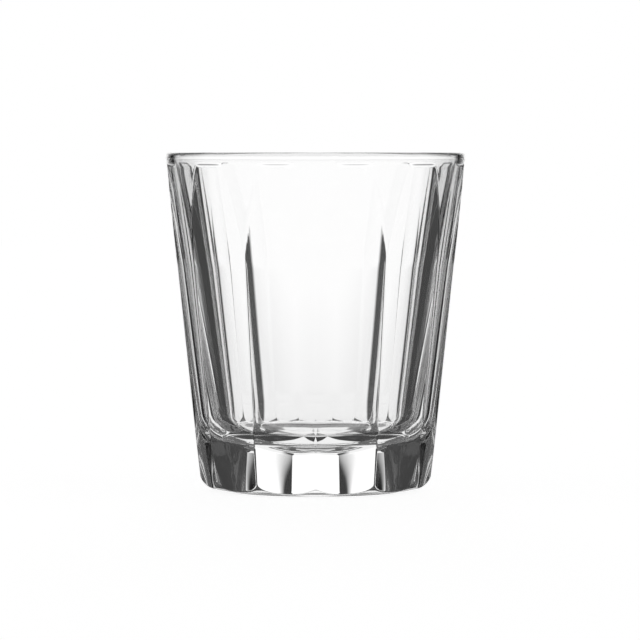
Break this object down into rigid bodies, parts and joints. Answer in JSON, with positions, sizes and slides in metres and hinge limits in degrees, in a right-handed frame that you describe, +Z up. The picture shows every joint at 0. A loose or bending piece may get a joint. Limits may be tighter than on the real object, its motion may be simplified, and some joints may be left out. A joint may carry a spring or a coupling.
{
  "type": "juice glass",
  "caption": "Clear heavy-based pressed juice glass with a tapered wall, arch-topped vertical panels under a plain rim, and an open cavity for a drink.",
  "frame": {"origin": "middle of the foot, on the plane that the glass stands on", "axes": "+Z up along the axis of the glass; -Y towards the camera of the picture, with the ridge between two panels facing it"},
  "size_m": [0.0766, 0.0766, 0.086],
  "materials": {
    "clear_glass": "clear, polished"
  },
  "bodies": {
    "root": {"tumbler": "clear_glass"}
  },
  "joints": []
}
